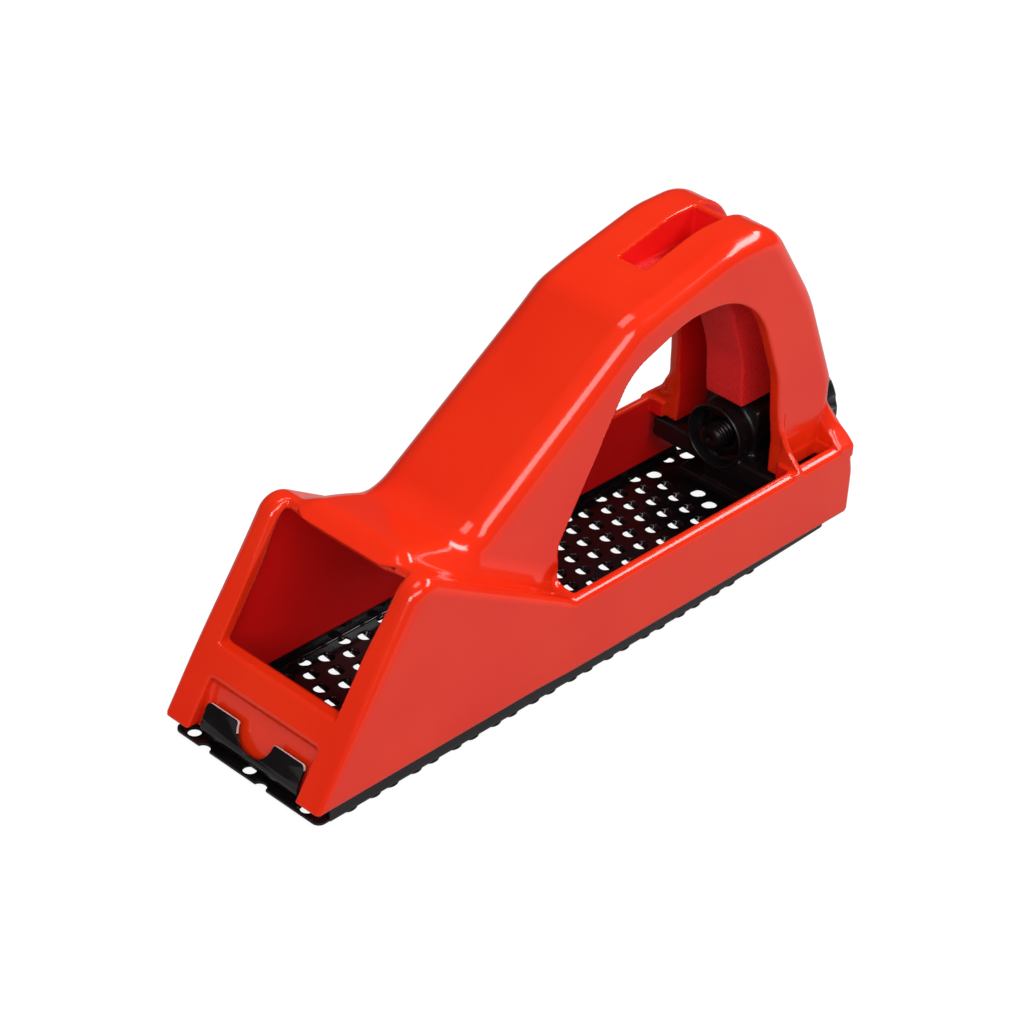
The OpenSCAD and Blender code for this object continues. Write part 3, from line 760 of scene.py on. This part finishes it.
def make_blade():
    """The punched sheet, its front strap, its teeth and its turned-up sides as one piece."""
    # the second finish is the cut edges' bare steel, coloured near white as a painted highlight
    finish = [lacquered_steel(), sheared_steel_painted_bright()]

    # The sheet is drawn flat with its rear lip, as a press tool would blank it. Its front edge
    # runs on under the front lip and is sheared straight through a row of holes.
    w, n, x9 = LIP_HALF, NOTCH, REAR_X + 5.2
    half = [(BLADE_X1, 20, 1.6), (BLADE_X2, 20, 2.4), (BLADE_X2, w + 0.9, 0.8), (144.9, w + 0.8, 0.4),
            (144.9, w, 0.4), (x9, w, 1.6), (x9, 4.0, 0.8), (x9 - 2.6, 2.6, 1.8)]
    sheet = drawn("sheet", arcs(half + [(x, -y, r) for x, y, r in reversed(half)]), "z", UNDER, SHEET)
    for x, y, size in ((1.75, 11.4, 1.5), (1.75, -4.25, 1.5), (3.9, 16.2, 1.4), (3.9, 0.7, 1.4),
                       (3.9, -15.0, 1.4)):
        bpy.ops.mesh.primitive_cylinder_add(vertices=32, radius=size * MM, depth=3 * MM,
                                            location=at(x, y, UNDER))
        carved(sheet, settle(bpy.context.object, "hole"))
    softened(sheet, 0.1, 60, 2)
    # the front lip is a strap on the sheet's end, bent up and back over the body's front bar
    x0 = LIP_X - LIP_LEAN * LIP_BEND - LIP_FLAT
    strap = drawn("strap", arcs([(x0, -w, 1.0), (x0, -n, 0.5), (x0 + n, -n, n * 0.97),
                                 (x0 + n, n, n * 0.97), (x0, n, 0.5), (x0, w, 1.0), (9.4, w, 1.0),
                                 (9.4, -w, 1.0)], 10), "z", TOP + 0.01, SHEET)
    # the shear leaves bare steel sides on the two lips: they take the second material, whose near-white
    # colour is a painted highlight
    for o in (strap, sheet):
        for face in o.data.polygons:
            x = face.center.x / MM - HOME[0]
            if abs(face.normal.z) < 0.5 and (x < -2.0 and o == strap or x > 149):
                face.material_index = 1
    softened(strap, 0.12, 60, 2)
    # the front lip rises round a bend of 3.1 mm, the rear one round 1.2 mm
    for o, start, run, turn, steps, lift in ((strap, LIP_X, -LIP_LEAN * LIP_BEND, LIP_LEAN, 12, 0.31),
                                             (sheet, REAR_X, 1.9, -radians(88), 5, -0.3)):
        for k in (-0.5, *range(steps), steps + 0.5):
            cut_across(o, (start + run * (k + 0.5) / steps, 0, 0), (1, 0, 0))
        for k in reversed(range(steps)):
            x, away = start + run * (k + 0.5) / steps, 1 if run > 0 else -1
            bent(o, (x, 0, TOP + lift), turn / steps,
                 lambda px, py, pz: ((px - x) * away > 1e-3) & (abs(py) < w + 0.3))

    # one punch, copied to every hole and driven through the sheet in one go
    outline_row = []
    for k in range(24):
        angle = 2 * pi * k / 24
        folded = (angle + pi) % (2 * pi) - pi
        r = HOLE_R + 0.55 * (depth_round(folded) if abs(folded) < ARC else 0)
        outline_row.append((r * cos(angle + TURN), r * sin(angle + TURN)))
    punch = drawn("punch", outline_row, "z", UNDER - 1, 3)
    points, faces = tooth_mesh()
    mesh = bpy.data.meshes.new("tooth")
    mesh.from_pydata([at(a * cos(TURN) - b * sin(TURN), a * sin(TURN) + b * cos(TURN), TOP + c)
                      for a, b, c in points], [], faces)
    tooth = bpy.data.objects.new("tooth", mesh)
    bpy.context.scene.collection.objects.link(tooth)
    only(tooth)
    bpy.ops.object.shade_smooth()
    punches, teeth = [], []
    for x, y in teeth_places(19.5):
        for pattern, row in ((punch, punches), (tooth, teeth)):
            # at the heel end and along the bends the holes are left without a tooth
            if pattern == tooth and (x > 134 or abs(y) > BEND_Y):
                continue
            o = pattern.copy()
            o.data = pattern.data.copy()
            bpy.context.scene.collection.objects.link(o)
            o.location = (x * MM, min(max(y, -18.6), 18.6) * MM, 0)
            if abs(y) > BEND_Y:
                # its mesh stands at the toe, so a smaller one has slid by a fifth of that way
                o.scale = (0.8, 0.8, 1)
                o.location[0] += (0.3 + 0.2 * HOME[0]) * MM
            row.append(o)
    for pattern in (punch, tooth):
        bpy.data.objects.remove(pattern)
    punches = settle(combined("punches", punches), "punches")
    teeth = settle(combined("teeth", teeth), "teeth")
    carved(sheet, punches)

    # turned-up sides: an angle with a 1 mm bend outside, its ends rounded off
    sides = []
    for s in (-1, 1):
        row = arcs([(s * 19.6, UNDER, 0), (s * 20.7, UNDER, 1.0), (s * 20.7, -0.1, 0.12),
                    (s * 20.1, -0.1, 0.12), (s * 20.1, TOP, 0.4), (s * 19.6, TOP, 0)], 5)
        side = drawn("side", row, "x", 4.2, 142.2)
        ends = drawn("ends", arcs([(4.15, 0.5, 0), (4.15, UNDER - 0.1, 1.6), (146.45, UNDER - 0.1, 1.6),
                                   (146.45, 0.5, 0)], 6), "y", s * 20.2 - 1.5, 3)
        carved(side, ends, "INTERSECT")
        sides.append(side)
        # the outermost teeth are pressed against the bend and leave swellings along it
        for x, y in teeth_places(21.6):
            if abs(y) > BEND_Y and y * s > 0:
                bpy.ops.mesh.primitive_uv_sphere_add(segments=12, ring_count=8, radius=1.25 * MM,
                                                     location=at(x + 0.8, s * 19.9, UNDER + 0.2))
                o = bpy.context.object
                o.scale = (1.3, 0.62, 0.45)
                bpy.ops.object.shade_smooth()
                sides.append(settle(o, "swelling"))
    for o in [sheet, strap, teeth] + sides:
        for m in finish:
            o.data.materials.append(m)
    blade = combined("punched_blade", [sheet, strap, teeth] + sides)
    cut_across(blade, (RISE_X, 0, 0), (1, 0, 0))
    bent(blade, (RISE_X, 0, UNDER), -RISE, lambda px, py, pz: px > RISE_X + 1e-3)
    return blade


fitted(make_blade(), [], "plane", "blade", smooth=38)


# ---------------------------------------------------------------- the slider
def slider_form(x, y, z, sloped):
    """The die-cast slider: a flared cup on a block, a crossbar with wings, and a foot."""
    line, slab, _ = drafting(x, y, z, sloped)
    dz = z - AXIS_Z
    reach = np.maximum(np.hypot(y, dz), 1e-9)

    def lathe(row):
        value, sa, sr = outline(row, x, reach, sloped)
        if not sloped:
            return Form(value)
        return Form(value, np.stack([sa, sr * y / reach, sr * dz / reach]))

    block = both(line([(138, 5.4, 1), (138, 24.0, 1.2), (149.4, 24.0, 1), (149.4, 5.4, .5)]),
                 slab(7.2), .8)
    bar = both(line([(134.3, 8.0, 1.4), (134.3, 12.95, .7), (138.8, 12.95, .3),
                     (138.8, 8.0, .8)]), slab(18.1), 1.3)
    wings = both(line([(136.3, 10.2, .5), (136.3, 12.95, .2), (148.4, 12.95, .6),
                       (148.4, 10.2, .6)]), slab(18.1), .9)
    stem = both(line([(139.4, -.6, .2), (139.4, 7, 0), (146.5, 7, 0), (146.5, -.6, .2)]),
                slab(7.0), .6)
    foot = both(line([(138.5, -.95, .3), (138.5, 1.15, .7), (146.5, 1.15, .5),
                      (146.5, -.95, .3)]), slab(13.2), .7)
    cup = lathe([(132.8, 0, 0), (132.8, 7.4, .45), (134.3, 6.95, 2), (141.5, 6.5, 0), (141.5, 0, 0)])
    form = joined(joined(bar, wings, .3), joined(stem, foot, .6), .3)
    form = joined(joined(form, block, .8), cup, .9)
    dish = lathe([(131, 0, 0), (131, 6.9, 0), (132.9, 6.75, .3), (135.3, 5.95, .5), (135.6, 0, 0)])
    form = less(form, dish, .25)
    value, slope = hexagon(y, dz, 5.12)
    seat = both(Form(value, slope if sloped else None),
                line([(135, -9, 0), (135, 40, 0), (140.2, 40, 0), (140.2, -9, 0)]), .05)
    form = less(form, seat, .12)
    return less(form, lathe([(120, 0, 0), (120, 3.3, 0), (160, 3.3, 0), (160, 0, 0)]), .2)


def hexagon(y, dz, half):
    """Distance from a hexagon with two corners up and down, with its slopes."""
    best = np.full(np.broadcast(y, dz).shape, -1e9)
    sy, sz = np.zeros_like(best), np.zeros_like(best)
    for k in range(6):
        a = radians(60 * k)
        v = y * cos(a) + dz * sin(a) - half
        sy, sz = np.where(v > best, cos(a), sy), np.where(v > best, sin(a), sz)
        best = np.maximum(v, best)
    return best, np.stack([np.zeros_like(best), sy, sz])


slider = moulded("die_cast_slider", slider_form, (131, -19, -2), (151, 19, 26),
                 0.28)
fitted(slider, painted_casting(), "tensioner", "slider", smooth=0)

# ---------------------------------------------------------------- nut, washer, screw and knob
corner = 5 / cos(pi / 6)
nut = drawn("hex_nut", [(corner * sin(pi * k / 3), AXIS_Z + corner * cos(pi * k / 3))
                        for k in range(6)], "x", 135.7, 4)
chamfer = turned("chamfer", [(135.6, 0), (135.6, 4.75), (136.3, 5.95), (139.1, 5.95),
                             (139.8, 4.75), (139.8, 0)], False, 48)
carved(nut, chamfer, "INTERSECT")
bore = turned("bore", [(135, 0), (135, 3.8), (136.5, 3.06), (139, 3.06), (140.4, 3.8),
                       (140.4, 0)], False, 48)
carved(nut, bore)
softened(nut, 0.12)
fitted(nut, blackened_steel(), "tensioner", "nut")

ring = [(153.56, 3.3), (153.75, 3.1), (154.35, 3.1), (154.54, 3.3), (154.54, 6.75), (154.3, 6.98),
        (153.8, 6.98), (153.56, 6.75)]
fitted(turned("plain_washer", ring, True, 72), zinc_plate(), "plane", "washer")


def make_screw():
    """A 6 mm screw: rolled thread cut along a helix, a domed end with a centre dimple."""
    tip, end, core = 131.4, 148.9, 2.42
    # one turn of the thread's section, then swept along the helix for every turn
    row = [(0.0, core), (0.3, 2.93), (0.42, 2.99), (0.58, 2.99), (0.7, 2.93), (1.0, core)]
    mesh = bpy.data.meshes.new("thread")
    mesh.from_pydata([at(tip + 0.9 + x, 0, AXIS_Z + r) for x, r in row],
                     [(i, i + 1) for i in range(len(row) - 1)], [])
    thread = bpy.data.objects.new("thread", mesh)
    bpy.context.scene.collection.objects.link(thread)
    only(thread)
    bpy.context.scene.cursor.location = at(0, 0, AXIS_Z)
    bpy.ops.object.origin_set(type="ORIGIN_CURSOR")
    turns = int(end - tip - 2)
    with_modifier(thread, "SCREW", axis="X", screw_offset=1.0 * MM, iterations=turns, steps=32,
                  render_steps=32, use_merge_vertices=True, merge_threshold=2e-6)
    settle(thread, "thread")
    tidy(thread)
    rod = turned("rod", [(tip + 0.75, 0), (tip + 0.45, 0.35), (tip + 0.08, 0.95), (tip, 1.15), (tip, 1.9),
                         (tip + 0.3, 2.6), (tip + 0.75, 2.93), (tip + 1.15, 2.95), (tip + 1.45, 2.55),
                         (tip + 1.8, 2.44), (end - 1.4, 2.44), (end - 0.9, 2.95), (end, 2.99),
                         (158.4, 2.99), (158.7, 2.7), (158.7, 0)], False, 64)
    return combined("tension_screw", [rod, thread])


fitted(make_screw(), blackened_steel(), "knob_screw", "screw", smooth=40)


def make_knob():
    """A thumb wheel: fluted rim, dished faces and a boss for the screw's riveted end."""
    row = arcs([(154.6, 0, 0), (154.6, 6.6, .4), (155.9, 7.3, .5), (156.0, 9.6, .5), (156.2, 11.4, .9),
                (160.2, 11.4, 1.0), (160.4, 8.7, .7), (159.5, 7.6, .6), (159.4, 5.6, .8), (161.8, 4.7, .6),
                (161.95, 0, 0)], 4)
    knob = turned("thumb_knob", row, False, 144)
    tools = []
    for k in range(12):
        angle = 2 * pi * (k + 0.5) / 12
        place = at(158, 12.85 * sin(angle), AXIS_Z + 12.85 * cos(angle))
        bpy.ops.mesh.primitive_cylinder_add(vertices=28, radius=2.2 * MM, depth=12 * MM,
                                            rotation=(0, pi / 2, 0), location=place)
        tools.append(settle(bpy.context.object, "flute"))
    carved(knob, combined("flutes", tools))
    return softened(knob, 0.28, 40, 3)


fitted(make_knob(), knob_nylon(), "knob_screw", "knob", smooth=40)

# ---------------------------------------------------------------- stage, light and camera
def stage():
    bpy.ops.mesh.primitive_plane_add(size=6, location=(0, 0, 0))
    floor = bpy.context.object
    floor.name = "floor"
    material = bpy.data.materials.new("white paper floor")
    material.use_nodes = True
    tree = material.node_tree
    tree.nodes.clear()
    # seen straight on it is white paper that keeps a soft shadow; to the tool it is light grey,
    # so that the side walls are a little darker than the top and turn only slightly milky
    ray = add(tree, "ShaderNodeLightPath").outputs["Is Camera Ray"]
    matt = add(tree, "ShaderNodeBsdfDiffuse", None,
               {"Color": two_colours(tree, ray, "#A2A2A2", "#EDEDED")})
    glow = add(tree, "ShaderNodeEmission", {"Color": (1, 1, 1, 1), "Strength": 1.15})
    share = add(tree, "ShaderNodeMath", {"operation": "MULTIPLY", 1: 0.78}, {0: ray}).outputs[0]
    mix = add(tree, "ShaderNodeMixShader", None,
              {0: share, 1: matt.outputs[0], 2: glow.outputs[0]})
    add(tree, "ShaderNodeOutputMaterial", None, {0: mix.outputs[0]})
    floor.data.materials.append(material)


def lamp(name, place, size, power, aim=(0, 0, 0.03)):
    data = bpy.data.lights.new(name, "AREA")
    data.energy = power
    data.shape = "RECTANGLE"
    data.size, data.size_y = size
    o = bpy.data.objects.new(name, data)
    bpy.context.scene.collection.objects.link(o)
    o.location = place
    o.rotation_euler = (Vector(aim) - Vector(place)).to_track_quat("-Z", "Y").to_euler()


clear()
stage()
# a long softbox at the near side lights the tool and draws the highlight along the arm, a
# bank at the heel end those of the rim, the crown and the heel's slopes, one on the left the
# window's corner; the gloss sees dark walls between them
lamp("near softbox", (-0.32, -0.79, 0.77), (0.85, 0.3), 4.2)
lamp("heel bank", (0.83, -0.33, 0.8), (1.0, 0.24), 8)
lamp("left softbox", (-0.95, -0.5, 0.62), (0.4, 0.4), 4)
lamp("overhead", (0.0, 0.1, 1.3), (0.6, 0.6), 3.5)
world = bpy.data.worlds.new("studio")
bpy.context.scene.world = world
world.use_nodes = True
tree = world.node_tree
back = tree.nodes["Background"]
back.inputs["Color"].default_value = (1, 1, 1, 1)
# the room is dark in the gloss, as dark walls round the table would be
mirrored = add(tree, "ShaderNodeLightPath").outputs["Is Glossy Ray"]
tree.links.new(between_values(tree, mirrored, 0.38, 0.05, 0, 1), back.inputs["Strength"])

# the camera's place, turn and lens were fitted to the tool's own edges
data = bpy.data.cameras.new("camera")
data.lens, data.sensor_width = 114.61, 36
camera = bpy.data.objects.new("camera", data)
bpy.context.scene.collection.objects.link(camera)
camera.location = (-0.40307, -0.35351, 0.3819)
camera.rotation_euler = (radians(56.2765), radians(-2.9933), radians(-46.0804))
bpy.context.scene.camera = camera
bpy.context.scene.view_settings.view_transform = "Standard"
